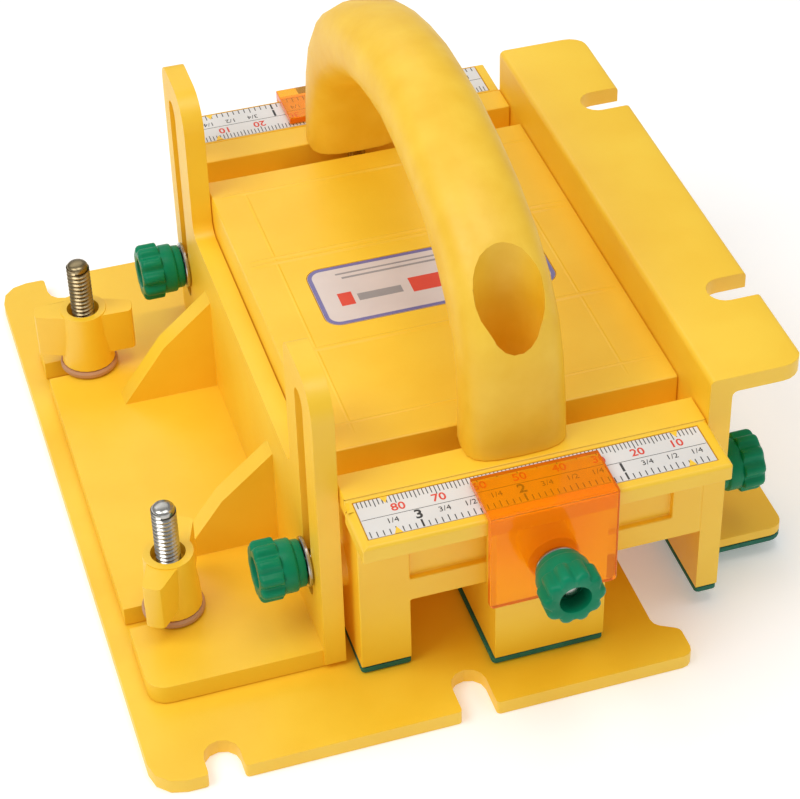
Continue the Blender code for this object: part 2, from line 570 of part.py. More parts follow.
def bore_tool(name, screw_y):
    """Oval screw bore that tapers down to the screw's head."""
    bm = bmesh.new()
    rings = []
    for z, wide, deep in BORE_ROWS:
        rings.append([bm.verts.new((HANDLE_X + wide * u, screw_y + deep * v, z))
                      for u, v in circle(0, 0, 1, 24)])
    for one, two in zip(rings, rings[1:]):
        for k in range(24):
            j = (k + 1) % 24
            bm.faces.new((one[k], one[j], two[j], two[k]))
    bm.faces.new(rings[0])
    bm.faces.new(rings[-1])
    return finish(bm, name, None)


def make_handle():
    bm = bmesh.new()
    stations = handle_stations()
    middle = (len(stations) - 1) / 2
    rings = []
    for index, (outer, inner) in enumerate(stations):
        outer, inner = Vector(outer), Vector(inner)
        centre, half = (outer + inner) / 2, (outer - inner) / 2
        crown = 1 - abs(index - middle) / middle
        power = 2 / (3.2 - 1.1 * crown)
        wide = HANDLE_HALF_WIDTH - 1.3 * crown
        ring = []
        for k in range(20):
            angle = 2 * math.pi * k / 20
            cos, sin = math.cos(angle), math.sin(angle)
            across = math.copysign(abs(cos) ** power, cos) * wide
            spot = centre + half * math.copysign(abs(sin) ** power, sin)
            ring.append(bm.verts.new((HANDLE_X + across, spot.x, spot.y)))
        rings.append(ring)
    for one, two in zip(rings, rings[1:]):
        for k in range(20):
            j = (k + 1) % 20
            bm.faces.new((one[k], one[j], two[j], two[k]))
    bm.faces.new(rings[0])
    bm.faces.new(rings[-1])
    origin = (HANDLE_X, BODY_Y, DECK_TOP)
    handle = finish(bm, "handle", YELLOW, origin, smooth=True)
    for side, y in zip(("front", "rear"), mirrored(HANDLE_SCREW_HALF)):
        tools = [bore_tool("tool_handle_bore_" + side, y),
                 prism("tool_handle_hole_" + side, "Z", circle(HANDLE_X, y, 2.8), 60, 71)]
        combine(handle, "DIFFERENCE", *tools)
        lathe("handle_screw_" + side, "Z", (HANDLE_X, y),
              [(0, 43.4), (HANDLE_SCREW_RADIUS, 43.4), (HANDLE_SCREW_RADIUS, 69.3),
               (3.7, 69.3), (3.7, 72.8), (1.6, 72.8), (1.6, 70.8), (0, 70.8)],
              ZINC, 16, origin=origin)
        nut = prism("handle_nut_" + side, "Z",
                    rectangle(HANDLE_X - 5, HANDLE_X + 5, y - 4.6, y + 4.6, 1.0, 45),
                    TRENCH_UNDER - GAP - 4, TRENCH_UNDER - GAP, ZINC, origin)
        combine(nut, "DIFFERENCE", prism("tool_handle_nut_hole_" + side, "Z",
                                         circle(HANDLE_X, y, 2.8), 40, 52))


make_body()
make_pads()
make_stickers()
make_right_leg()
make_stabiliser()
make_centre_leg()
make_cursors()
make_clamps()
make_bracket()
make_base_plate()
make_plate_bolts()
make_handle()
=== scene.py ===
import json
import math
from collections import namedtuple

import bmesh
import bpy
from mathutils import Matrix, Vector

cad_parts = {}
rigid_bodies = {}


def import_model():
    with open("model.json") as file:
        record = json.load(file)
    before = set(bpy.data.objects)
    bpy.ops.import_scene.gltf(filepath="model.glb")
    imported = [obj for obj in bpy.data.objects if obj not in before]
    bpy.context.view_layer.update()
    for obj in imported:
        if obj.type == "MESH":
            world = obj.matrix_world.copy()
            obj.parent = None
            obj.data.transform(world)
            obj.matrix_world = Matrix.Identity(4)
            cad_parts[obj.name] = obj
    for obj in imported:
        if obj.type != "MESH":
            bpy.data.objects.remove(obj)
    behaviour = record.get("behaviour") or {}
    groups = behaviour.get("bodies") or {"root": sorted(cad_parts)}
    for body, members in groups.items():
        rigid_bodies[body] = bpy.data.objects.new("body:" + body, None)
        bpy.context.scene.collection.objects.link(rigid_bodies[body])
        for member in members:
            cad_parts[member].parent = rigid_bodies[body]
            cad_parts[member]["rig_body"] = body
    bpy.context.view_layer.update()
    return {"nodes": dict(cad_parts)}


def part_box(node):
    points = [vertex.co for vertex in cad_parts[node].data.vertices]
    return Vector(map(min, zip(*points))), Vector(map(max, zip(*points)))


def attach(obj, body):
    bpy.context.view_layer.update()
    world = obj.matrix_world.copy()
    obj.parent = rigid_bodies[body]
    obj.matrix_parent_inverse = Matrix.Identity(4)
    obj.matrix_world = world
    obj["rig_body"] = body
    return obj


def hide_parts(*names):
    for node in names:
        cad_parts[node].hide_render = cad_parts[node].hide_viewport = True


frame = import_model()
NODES = frame["nodes"]
MM = 0.001

# driving dimensions, in metres
EDGE = 0.45 * MM             # rounding of the moulded edges
STUD_RADIUS = 3.0 * MM
STUD_PITCH = 1.0 * MM
BOLT_RADIUS = 3.175 * MM
BOLT_PITCH = 1.27 * MM
BOLT_HEAD = 1.8 * MM         # height of the plate bolts' hexagon heads
INCH = 25.4 * MM
PRINT = 0.03 * MM            # height of the printed marks
SEAT_ROOM = 0.4 * MM         # reach of the stickers' seats round the stickers
KNOB_LOBES = 10
LOBE_DEPTH = 1.15 * MM
KNOB_BORE = 3.35 * MM        # hole through the knob for its stud
KNOB_RECESS = 5.0 * MM       # depth of the pocket in the knob's outer end
SCALE_MARGIN = 0.5 * MM      # bare strip at each end of a printed scale
MARK_SUNK = 0.25 * MM        # depth to which the deck's mould marks reach into it
WEB_UNDER = 26.3 * MM        # lower edge of the webs between the legs
WEB_TOP = 57.4 * MM
FLOOR_HALF = 1.6
FRONT, REAR = -1, 1
SIDES = (("front", FRONT), ("rear", REAR))


# ---- materials -------------------------------------------------------------------------

def node_material(name):
    made = bpy.data.materials.new(name)
    made.use_nodes = True
    return made, made.node_tree.nodes, made.node_tree.links


def mottled(name, dark, light, rough=(0.3, 0.45), scale=60.0, bump=0.1, grain=900.0,
            **sockets):
    """Principled surface with a soft colour mottle, uneven gloss and a fine grain."""
    made, nodes, links = node_material(name)
    shader = nodes["Principled BSDF"]
    where = nodes.new("ShaderNodeTexCoord")
    soft = nodes.new("ShaderNodeTexNoise")
    soft.inputs["Scale"].default_value = scale
    soft.inputs["Detail"].default_value = 4.0
    fine = nodes.new("ShaderNodeTexNoise")
    fine.inputs["Scale"].default_value = grain
    fine.inputs["Detail"].default_value = 2.0
    ramp = nodes.new("ShaderNodeValToRGB")
    ramp.color_ramp.elements[0].position = 0.3
    ramp.color_ramp.elements[1].position = 0.7
    ramp.color_ramp.elements[0].color = (*dark, 1.0)
    ramp.color_ramp.elements[1].color = (*light, 1.0)
    gloss = nodes.new("ShaderNodeMapRange")
    gloss.inputs["To Min"].default_value = rough[0]
    gloss.inputs["To Max"].default_value = rough[1]
    relief = nodes.new("ShaderNodeBump")
    relief.inputs["Strength"].default_value = bump
    relief.inputs["Distance"].default_value = 0.0001
    links.new(where.outputs["Object"], soft.inputs["Vector"])
    links.new(where.outputs["Object"], fine.inputs["Vector"])
    links.new(soft.outputs["Fac"], ramp.inputs["Fac"])
    links.new(ramp.outputs["Color"], shader.inputs["Base Color"])
    links.new(fine.outputs["Fac"], gloss.inputs["Value"])
    links.new(gloss.outputs["Result"], shader.inputs["Roughness"])
    links.new(fine.outputs["Fac"], relief.inputs["Height"])
    links.new(relief.outputs["Normal"], shader.inputs["Normal"])
    for socket, value in sockets.items():
        shader.inputs[socket.replace("_", " ")].default_value = value
    return made


# The faint orange emission on the yellow plastic is painted glow: it lifts the shaded recesses,
# standing in for light bounced round in and through the plastic.
YELLOW = mottled("yellow_plastic", (0.90, 0.55, 0.016), (0.95, 0.63, 0.036), (0.36, 0.50),
                 scale=38.0, bump=0.2, Specular_IOR_Level=0.7,
                 Emission_Color=(1.0, 0.36, 0.0, 1.0), Emission_Strength=0.06)
# The handle's faint orange emission is painted glow as well, lifting its shaded parts like
# bounced light.
HANDLE = mottled("yellow_handle", (0.87, 0.52, 0.016), (0.93, 0.60, 0.040), (0.40, 0.54),
                 scale=110.0, bump=0.35, grain=500.0, Specular_IOR_Level=0.65,
                 Emission_Color=(1.0, 0.36, 0.0, 1.0), Emission_Strength=0.05)
GREEN = mottled("green_knob_plastic", (0.001, 0.20, 0.085), (0.002, 0.26, 0.125), (0.28, 0.40),
                scale=90.0, bump=0.08, Specular_IOR_Level=0.18)
RUBBER = mottled("green_rubber", (0.010, 0.13, 0.085), (0.02, 0.19, 0.12), (0.7, 0.9),
                 scale=150.0, bump=0.5, grain=1400.0)
NYLON = mottled("tan_nylon", (0.52, 0.27, 0.14), (0.60, 0.34, 0.19), (0.4, 0.55), bump=0.1)
ZINC = mottled("silver_zinc", (0.38, 0.37, 0.34), (0.56, 0.55, 0.52), (0.16, 0.30),
               scale=200.0, bump=0.06, Metallic=1.0)
BRASS = mottled("yellow_zinc", (0.22, 0.17, 0.09), (0.42, 0.33, 0.19), (0.22, 0.38),
                scale=200.0, bump=0.06, Metallic=1.0)
STICKER = mottled("scale_sticker", (0.74, 0.73, 0.71), (0.80, 0.79, 0.77), (0.3, 0.4), bump=0.05)
LABEL = mottled("label_sticker", (0.68, 0.60, 0.57), (0.76, 0.68, 0.65), (0.3, 0.4), bump=0.05)
BORDER = mottled("label_border", (0.15, 0.14, 0.36), (0.21, 0.20, 0.44), (0.35, 0.45), bump=0.02)
BLACK = mottled("print_black", (0.02, 0.02, 0.02), (0.05, 0.05, 0.05), (0.5, 0.6), bump=0.02)
RED = mottled("print_red", (0.70, 0.05, 0.03), (0.78, 0.09, 0.05), (0.5, 0.6), bump=0.02)
GREY = mottled("print_grey", (0.30, 0.28, 0.28), (0.38, 0.36, 0.36), (0.5, 0.6), bump=0.02)
# The acrylic's orange emission is painted light: it brightens the cursors where the clear plastic
# keeps the lamps' light off the print beneath.
ORANGE = mottled("orange_acrylic", (0.98, 0.50, 0.012), (1.00, 0.57, 0.022), (0.04, 0.10),
                 scale=30.0, bump=0.02, Transmission_Weight=0.86, IOR=1.25,
                 Emission_Color=(0.95, 0.24, 0.0, 1.0), Emission_Strength=0.09)
ORANGE_EDGE = mottled("orange_acrylic_edge", (0.88, 0.16, 0.008), (0.95, 0.22, 0.015),
                      (0.10, 0.20), scale=30.0, bump=0.02)
FLOOR = mottled("pale_floor", (0.93, 0.93, 0.93), (0.95, 0.95, 0.95), (0.8, 0.9), scale=4.0,
                bump=0.0, Emission_Color=(1.0, 1.0, 1.0, 1.0), Emission_Strength=0.22)


# ---- pieces ----------------------------------------------------------------------------

def soften(mesh, angle=32.0):
    mesh.polygons.foreach_set("use_smooth", [True] * len(mesh.polygons))
    mesh.set_sharp_from_angle(angle=math.radians(angle))


def settle(piece, look, body, slot, *nodes):
    """Give a piece its finish, the body it moves with and the CAD nodes it stands for."""
    piece.data.materials.clear()
    piece.data.materials.append(look)
    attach(piece, body)
    if nodes:
        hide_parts(*nodes)
    return piece


def new_piece(name, bm, angle=32.0):
    bmesh.ops.recalc_face_normals(bm, faces=bm.faces)
    mesh = bpy.data.meshes.new(name)
    bm.to_mesh(mesh)
    bm.free()
    soften(mesh, angle)
    made = bpy.data.objects.new(name, mesh)
    bpy.context.scene.collection.objects.link(made)
    return made


def ring(bm, place, height, radii):
    """Corners around a shape's own axis, one for each radius; a lone radius is the tip."""
    return [bm.verts.new(place @ Vector((r * math.cos(2 * math.pi * k / len(radii)),
                                         r * math.sin(2 * math.pi * k / len(radii)), height)))
            for k, r in enumerate(radii)]


def bridge(bm, one, two):
    """Faces between two closed rings, or between a ring and a tip."""
    count = max(len(one), len(two))
    for k in range(count):
        j = (k + 1) % count
        bm.faces.new((one[0], two[k], two[j]) if len(one) == 1 else
                     (one[k], one[j], two[0]) if len(two) == 1 else
                     (one[k], one[j], two[j], two[k]))


def moulded(node, look, slot, edge=EDGE, segments=3, angle=32.0, limit=40.0, share=None):
    """A finished copy of a CAD node: clean faces and softly rounded edges.

    share(edge) gives the part of the rounding an edge takes; without it all take the same.
    """
    source = NODES[node]
    bm = bmesh.new()
    corners = [bm.verts.new(v.co) for v in source.data.vertices]
    for face in source.data.polygons:
        bm.faces.new([corners[i] for i in face.vertices])
    bmesh.ops.remove_doubles(bm, verts=bm.verts, dist=2e-6)
    bmesh.ops.recalc_face_normals(bm, faces=bm.faces)
    bmesh.ops.dissolve_limit(bm, angle_limit=math.radians(0.6), verts=bm.verts, edges=bm.edges)
    if share:
        weight = bm.edges.layers.float.new("bevel_weight_edge")
        for line in bm.edges:
            if len(line.link_faces) == 2 and line.calc_face_angle() > math.radians(limit):
                line[weight] = share(line)
    piece = new_piece(node + "_finished", bm, angle)
    if edge:
        bevel = piece.modifiers.new("edges", "BEVEL")
        bevel.width = edge
        bevel.segments = segments
        bevel.limit_method = "WEIGHT" if share else "ANGLE"
        bevel.angle_limit = math.radians(limit)
        bevel.use_clamp_overlap = share is None
        bevel.harden_normals = True
        bevel.miter_outer = "MITER_ARC"
    return settle(piece, look, source["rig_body"], slot, node)


def axis_frame(axis, sign, centre):
    """Matrix that puts a shape made along +Z at a centre, pointing out along an axis."""
    turn = {"X": Matrix.Rotation(math.radians(90 * sign), 4, "Y"),
            "Y": Matrix.Rotation(math.radians(-90 * sign), 4, "X"),
            "Z": Matrix.Identity(4) if sign > 0 else Matrix.Rotation(math.pi, 4, "X")}[axis]
    return Matrix.Translation(centre) @ turn


def turned(name, rows, count, place, lobe_at=None, closed=False, angle=32.0):
    """Surface of revolution through (radius, height, lobe depth) rows, placed by a matrix.

    lobe_at(angle) says how much of a row's lobe depth is taken off at that angle.
    """
    bm = bmesh.new()
    rings = []
    for radius, height, *share in rows:
        dent = share[0] if share else 0.0
        radii = [radius - (dent * lobe_at(2 * math.pi * k / count) if dent else 0.0)
                 for k in range(count if radius else 1)]
        rings.append(ring(bm, place, height, radii))
    for one, two in zip(rings, rings[1:] + (rings[:1] if closed else [])):
        bridge(bm, one, two)
    return new_piece(name, bm, angle)


def threaded(name, radius, pitch, plain, low, high, place, count=28):
    """Rod with a real helical thread from low to high and a rounded end; plain below low."""
    root = radius - 0.42 * pitch
    section = ((radius, 0.0), (radius, 0.16), (root, 0.50), (root, 0.62), (radius, 1.0))
    bm = bmesh.new()
    rows = []
    for k in range(int((high - low - pitch) / pitch * count) + 1):
        around, start = 2 * math.pi * k / count, low + pitch * k / count
        rows.append([bm.verts.new(place @ Vector((r * math.cos(around), r * math.sin(around),
                                                  start + share * pitch)))
                     for r, share in section])
    for one, two in zip(rows, rows[1:]):
        for i in range(len(section) - 1):
            bm.faces.new((one[i], two[i], two[i + 1], one[i + 1]))
    bmesh.ops.remove_doubles(bm, verts=bm.verts, dist=1e-7)
    thread_end = low + pitch * (len(rows) - 1) / count
    shank = ((radius, plain), (radius, low + 0.5 * pitch), (root, low + 0.5 * pitch))
    core = ((root, low), (root, thread_end), (radius - 0.25 * pitch, thread_end),
            (radius - 0.25 * pitch, high), (radius - 0.55 * pitch, high + 0.5 * MM),
            (0.4 * radius, high + 0.75 * MM), (0.0, high + 0.8 * MM))
    for outline in (shank, core):
        rings = [ring(bm, place, height, [r] * (count if r else 1)) for r, height in outline]
        for one, two in zip(rings, rings[1:]):
            bridge(bm, one, two)
        bm.faces.new(rings[0])
    return new_piece(name, bm, 50.0)


# ---- moulded plastic, pads -------------------------------------------------------------

def body_rounding(line):
    """Share of the rounding: sticker seats stay crisp, the deck's left edge is the roundest."""
    middle = (line.verts[0].co + line.verts[1].co) / 2
    for node in ("front_scale", "rear_scale", "deck_label"):
        near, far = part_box(node)
        if (near.x - SEAT_ROOM < middle.x < far.x + SEAT_ROOM
                and near.y - SEAT_ROOM < middle.y < far.y + SEAT_ROOM and middle.z > near.z - MM):
            return 0.0
    on_top = abs(middle.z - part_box("front_scale")[1].z) < 0.1 * MM
    if on_top and abs(middle.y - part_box("main_body")[0].y) < 0.1 * MM:
        return 0.55
    if on_top and abs(middle.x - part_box("support_bracket")[1].x) < 0.6 * MM:
        return 1.0
    return 0.2


moulded("main_body", YELLOW, "yellow_plastic", edge=2.0 * MM, share=body_rounding)
for node in ("support_bracket", "right_leg_bracket", "stabilizer_plate", "centre_leg",
             "base_plate"):
    moulded(node, YELLOW, "yellow_plastic")
for side, _ in SIDES:
    moulded(side + "_wing_nut", YELLOW, "yellow_plastic", edge=0.9 * MM, segments=4)
for node in ("left_leg_pad", "right_leg_pad", "centre_leg_pad", "stabilizer_pad"):
    moulded(node, RUBBER, "green_rubber", edge=0.25 * MM)

body_low, body_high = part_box("main_body")
DECK_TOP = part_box("deck_label")[1].z
CENTRE_Y = (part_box("left_leg_pad")[0].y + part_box("left_leg_pad")[1].y) / 2


# ---- handle ----------------------------------------------------------------------------

moulded("handle", HANDLE, "yellow_plastic", edge=0.7 * MM, segments=4, angle=40.0, limit=42.0)
for side, _ in SIDES:
    for part in ("handle_screw_", "handle_nut_"):
        moulded(part + side, ZINC, "silver_zinc", edge=0.2 * MM)


# ---- knobs, washers and studs ----------------------------------------------------------

def lobes(around):
    """Depth of the hollows between a knob's lobes, from 0 on a lobe to 1 between two."""
    return (0.5 - 0.5 * math.cos(KNOB_LOBES * around)) ** 1.6


def ends_along(node, axis, sign):
    """A node's radius about an axis, the centre of its inner end, and its length."""
    low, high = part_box(node)
    index = "XYZ".index(axis)
    inner, outer = (low[index], high[index]) if sign > 0 else (high[index], low[index])
    radius = max(high[i] - low[i] for i in range(3) if i != index) / 2
    centre = (low + high) / 2
    centre[index] = inner
    return radius, centre, abs(outer - inner)


def make_knob(prefix, axis, sign):
    """A knob with a plain collar, a lobed head and a pocket in its outer end."""
    radius, centre, length = ends_along(prefix + "_knob", axis, sign)
    collar, head, rim = 0.18 * length, 0.50 * length, 0.5 * MM
    pocket = 0.5 * radius
    rows = [(KNOB_BORE, 0), (5.7 * MM, 0), (6.0 * MM, 0.3 * MM), (6.1 * MM, collar - 0.15 * MM),
            (6.3 * MM, collar), (6.7 * MM, collar + 0.2 * MM), (6.85 * MM, collar + 0.6 * MM),
            (6.85 * MM, head - 0.6 * MM), (6.75 * MM, head - 0.15 * MM), (6.7 * MM, head),
            (radius - rim, head + 0.05 * MM, LOBE_DEPTH * 0.5),
            (radius - 0.12 * MM, head + rim * 0.5, LOBE_DEPTH * 0.9),
            (radius, head + rim, LOBE_DEPTH), (radius, length - 1.3 * MM, LOBE_DEPTH),
            (radius - 0.15 * MM, length - 0.75 * MM, LOBE_DEPTH),
            (radius - 0.6 * MM, length - 0.25 * MM, LOBE_DEPTH * 0.9),
            (radius - 1.3 * MM, length, LOBE_DEPTH * 0.4), (pocket + 0.5 * MM, length),
            (pocket + 0.1 * MM, length - 0.2 * MM), (pocket, length - 0.6 * MM),
            (pocket, length - KNOB_RECESS), (KNOB_BORE, length - KNOB_RECESS)]
    knob = turned(prefix + "_lobed_knob", rows, 120, axis_frame(axis, sign, centre), lobes,
                  closed=True, angle=48.0)
    settle(knob, GREEN, prefix + "_knob_body", "green_knob_plastic", prefix + "_knob")


def make_washer_and_stud(prefix, axis, sign):
    """The plated washer behind a knob and the threaded stud that the knob turns on."""
    body = NODES[prefix + "_washer"]["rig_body"]
    low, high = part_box(prefix + "_washer")
    index = "XYZ".index(axis)
    radius = max(high[i] - low[i] for i in range(3)) / 2
    thick = high[index] - low[index]
    hole = 3.3 * MM
    rows = [(hole, -thick / 2), (radius - 0.2 * MM, -thick / 2), (radius, -thick / 4),
            (radius, thick / 4), (radius - 0.2 * MM, thick / 2), (hole, thick / 2)]
    washer = turned(prefix + "_plated_washer", rows, 48,
                    axis_frame(axis, sign, (low + high) / 2), closed=True)
    settle(washer, ZINC, body, "silver_zinc", prefix + "_washer")

    _, start, span = ends_along(prefix + "_stud", axis, sign)
    stud = threaded(prefix + "_threaded_stud", STUD_RADIUS, STUD_PITCH, 0, 1.0 * MM,
                    span - 0.8 * MM, axis_frame(axis, sign, start), 24)
    settle(stud, ZINC, body, "silver_zinc", prefix + "_stud")


for side, sign in SIDES:
    for prefix, axis, outward in (("left_", "X", -1), ("right_", "X", 1), ("centre_", "Y", sign)):
        make_knob(prefix + side, axis, outward)
        make_washer_and_stud(prefix + side, axis, outward)


# ---- plate bolts -----------------------------------------------------------------------

def make_plate_bolt(side, look, slot):
    """A bolt up through the base plate, with its hexagon head and its nylon washer."""
    low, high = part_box(side + "_plate_bolt")
    centre = (low + high) / 2
    centre.z = 0
    place = axis_frame("Z", 1, centre)
    rod = threaded(side + "_bolt_thread", BOLT_RADIUS, BOLT_PITCH, low.z + 1.5 * MM,
                   low.z + 5.0 * MM, high.z - 0.9 * MM, place)
    settle(rod, look, "base_plate_body", slot, side + "_plate_bolt")
    rows = [(0, low.z), (5.9 * MM, low.z), (6.2 * MM, low.z + 0.3 * MM),
            (6.2 * MM, low.z + BOLT_HEAD - 0.3 * MM), (5.9 * MM, low.z + BOLT_HEAD),
            (0, low.z + BOLT_HEAD)]
    settle(turned(side + "_bolt_head", rows, 6, place, angle=20.0), look, "base_plate_body", slot)
    low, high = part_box(side + "_nylon_washer")
    radius, thick, hole = (high.x - low.x) / 2, high.z - low.z, 3.5 * MM
    rows = [(hole, low.z), (radius - 0.4 * MM, low.z), (radius, low.z + 0.3 * thick),
            (radius, low.z + 0.7 * thick), (radius - 0.4 * MM, high.z), (hole, high.z)]
    washer = turned(side + "_nylon_ring", rows, 48, place, closed=True)
    settle(washer, NYLON, "base_plate_body", "tan_nylon", side + "_nylon_washer")


make_plate_bolt("front", ZINC, "silver_zinc")
make_plate_bolt("rear", BRASS, "yellow_zinc")


# ---- cursors ---------------------------------------------------------------------------

def make_cursor(side):
    """A bent clear cursor whose sawn edges, which glow in acrylic, are a deeper orange."""
    cursor = moulded(side + "_cursor", ORANGE, "orange_acrylic", edge=0.3 * MM)
    cursor.data.materials.append(ORANGE_EDGE)
    for face in cursor.data.polygons:
        inner_edge = abs(face.normal.y) > 0.9 and abs(face.center.y - CENTRE_Y) < 85 * MM
        lower_edge = face.normal.z < -0.9 and face.center.z < DECK_TOP - 20 * MM
        if abs(face.normal.x) > 0.9 or inner_edge or lower_edge:
            face.material_index = 1


for side, _ in SIDES:
    make_cursor(side)


# ---- printed scales and label ----------------------------------------------------------

def bar(bm, x0, x1, y0, y1, low, high):
    made = bmesh.ops.create_cube(bm, size=1.0)["verts"]
    bmesh.ops.scale(bm, verts=made, vec=(abs(x1 - x0), abs(y1 - y0), high - low))
    bmesh.ops.translate(bm, verts=made, vec=((x0 + x1) / 2, (y0 + y1) / 2, (low + high) / 2))


def add_text(bm, text, height, x, y, low, turn, weight=0.0):
    """Generic figures as thin raised print, centred at (x, y) and turned about Z."""
    curve = bpy.data.curves.new("figures", "FONT")
    curve.body = text
    curve.size = height / 0.7
    curve.extrude = PRINT / 2
    curve.offset = weight
    curve.align_x = curve.align_y = "CENTER"
    curve.resolution_u = 3
    holder = bpy.data.objects.new("figures", curve)
    mesh = bpy.data.meshes.new_from_object(holder)
    mesh.transform(Matrix.Translation((x, y, low + PRINT / 2)) @ Matrix.Rotation(turn, 4, "Z"))
    bm.from_mesh(mesh)
    bpy.data.objects.remove(holder)
    bpy.data.curves.remove(curve)
    bpy.data.meshes.remove(mesh)


Rail = namedtuple("Rail", "low high top outer inner toward zero along turn")


def rail_of(side, sign):
    """Where a scale lies: its lip and deck edges in Y, its zero in X and the way it rises."""
    low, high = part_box(side + "_scale")
    if sign == FRONT:
        return Rail(low, high, high.z, low.y, high.y, 1, body_high.x, -1, 0.0)
    return Rail(low, high, high.z, high.y, low.y, -1, body_low.x + 2.2 * MM, 1, math.pi)


def inside(rail, x, room=SCALE_MARGIN):
    return rail.low.x + room < x < rail.high.x - room


def tick(bm, rail, x, half_width, edge_y, end_y):
    bar(bm, x - half_width, x + half_width, edge_y, end_y, rail.top, rail.top + PRINT)


def mark_millimetres(rail, black, red):
    """Ticks at the deck edge, with red figures every ten."""
    edge_y = rail.inner - rail.toward * 0.1 * MM
    for step in range(1, 100):
        x = rail.zero + rail.along * step * MM
        if inside(rail, x):
            reach = 2.9 * MM if step % 10 == 0 else 2.7 * MM if step % 5 == 0 else 2.2 * MM
            tick(black, rail, x, 0.11 * MM, edge_y, rail.inner - rail.toward * reach)
        if step % 10 == 0 and inside(rail, x, 3.0 * MM):
            add_text(red, str(step), 2.5 * MM, x, rail.inner - rail.toward * 4.3 * MM, rail.top,
                     rail.turn, 0.06 * MM)


def mark_inches(rail, black):
    """Ticks every sixteenth at the lip, with figures at the inches and their quarters."""
    quarters = {4: "1/4", 8: "1/2", 12: "3/4"}
    edge_y = rail.outer + rail.toward * 0.15 * MM
    row = rail.outer + rail.toward * 4.5 * MM
    for step in range(1, 62):
        x = rail.zero + rail.along * step * INCH / 16
        if not inside(rail, x):
            continue
        whole = step % 16 == 0
        reach = 2.7 * MM if whole else 2.3 * MM if step % 4 == 0 else 1.9 * MM
        tick(black, rail, x, 0.24 * MM if whole else 0.12 * MM, edge_y,
             rail.outer + rail.toward * reach)
        if whole and inside(rail, x, 2.0 * MM):
            add_text(black, str(step // 16), 2.9 * MM, x, row, rail.top, rail.turn, 0.1 * MM)
        elif step % 4 == 0 and inside(rail, x, 2.4 * MM):
            add_text(black, quarters[step % 16], 1.7 * MM, x, row, rail.top, rail.turn)


def mark_notches(rail, notches):
    """Small V notches at both edges near each end, where the plastic shows through."""
    for x in (rail.low.x + 7.3 * MM, rail.high.x - 6.2 * MM):
        for edge_y, way in ((rail.outer, rail.toward), (rail.inner, -rail.toward)):
            corners = [(x - 1.0 * MM, edge_y), (x + 1.0 * MM, edge_y),
                       (x, edge_y + way * 2.2 * MM)]
            lower, upper = ([notches.verts.new((u, v, z)) for u, v in corners]
                            for z in (rail.top - 0.1 * MM, rail.top + 2 * PRINT))
            bridge(notches, lower, upper)
            notches.faces.new(lower)
            notches.faces.new(upper)


def make_scale(side, sign):
    """Inch row at the lip, millimetre row at the deck, both rising away from zero."""
    rail = rail_of(side, sign)
    moulded(side + "_scale", STICKER, "scale_sticker", edge=0.1 * MM)
    middle = rail.outer + rail.toward * 0.50 * abs(rail.inner - rail.outer)
    black, red, notches = bmesh.new(), bmesh.new(), bmesh.new()
    bar(black, rail.low.x + 0.2 * MM, rail.high.x - 0.2 * MM, middle - 0.07 * MM,
        middle + 0.07 * MM, rail.top, rail.top + PRINT)
    mark_millimetres(rail, black, red)
    mark_inches(rail, black)
    mark_notches(rail, notches)
    for bm, name, look in ((notches, "_scale_notches", YELLOW), (black, "_scale_marks", BLACK),
                           (red, "_scale_figures", RED)):
        settle(new_piece(side + name, bm, 20.0), look, "main_block", None)


for side, sign in SIDES:
    make_scale(side, sign)


def rounded_plate(name, x0, x1, y0, y1, radius, low, high, hole=0.0):
    """Rounded rectangle between two heights, or only its border when hole is given."""
    def outline(inset):
        """Quarter circles round the four corners, each 90 degrees on from the last."""
        points = []
        r = radius - inset
        for cx, cy, start in ((x1 - radius, y1 - radius, 0), (x0 + radius, y1 - radius, 90),
                              (x0 + radius, y0 + radius, 180), (x1 - radius, y0 + radius, 270)):
            for k in range(13):
                a = math.radians(start + 7.5 * k)
                points.append((cx + r * math.cos(a), cy + r * math.sin(a)))
        return points
    bm = bmesh.new()
    outer = outline(0.0)
    rings = [[bm.verts.new((x, y, z)) for x, y in outer] for z in (low, high)]
    if hole:
        inner = outline(hole)
        rings += [[bm.verts.new((x, y, z)) for x, y in inner] for z in (high, low)]
        rings.append(rings[0])
    for one, two in zip(rings, rings[1:]):
        bridge(bm, one, two)
    if not hole:
        bm.faces.new(rings[0])
        bm.faces.new(rings[-1])
    return new_piece(name, bm, 25.0)


# bars that stand for the label's print: left, right, near and far as shares of its size
RED_BARS = ((0.40, 0.78, 0.30, 0.55), (0.09, 0.15, 0.30, 0.52))
GREY_BARS = ((0.17, 0.36, 0.34, 0.46), (0.14, 0.86, 0.76, 0.79), (0.12, 0.84, 0.84, 0.865))


def make_label():
    """The deck's label: a sheet, its coloured border and plain bars in place of print."""
    low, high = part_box("deck_label")
    wide, deep = high.x - low.x, high.y - low.y
    radius, inset = 4.0 * MM, 0.05 * MM
    sheet = rounded_plate("deck_label_sheet", low.x, high.x, low.y, high.y, radius, low.z, high.z)
    settle(sheet, LABEL, "main_block", "label_sticker", "deck_label")
    border = rounded_plate("deck_label_border", low.x + inset, high.x - inset, low.y + inset,
                           high.y - inset, radius - inset, high.z, high.z + PRINT, 1.1 * MM)
    settle(border, BORDER, "main_block", None)
    for name, look, bars in (("deck_label_red_bars", RED, RED_BARS),
                             ("deck_label_grey_bars", GREY, GREY_BARS)):
        bm = bmesh.new()
        for u0, u1, v0, v1 in bars:
            bar(bm, low.x + u0 * wide, low.x + u1 * wide, low.y + v0 * deep, low.y + v1 * deep,
                high.z, high.z + PRINT)
        settle(new_piece(name, bm, 20.0), look, "main_block", None)


make_label()


# ---- shallow marks the mould leaves on the deck ---------------------------------------

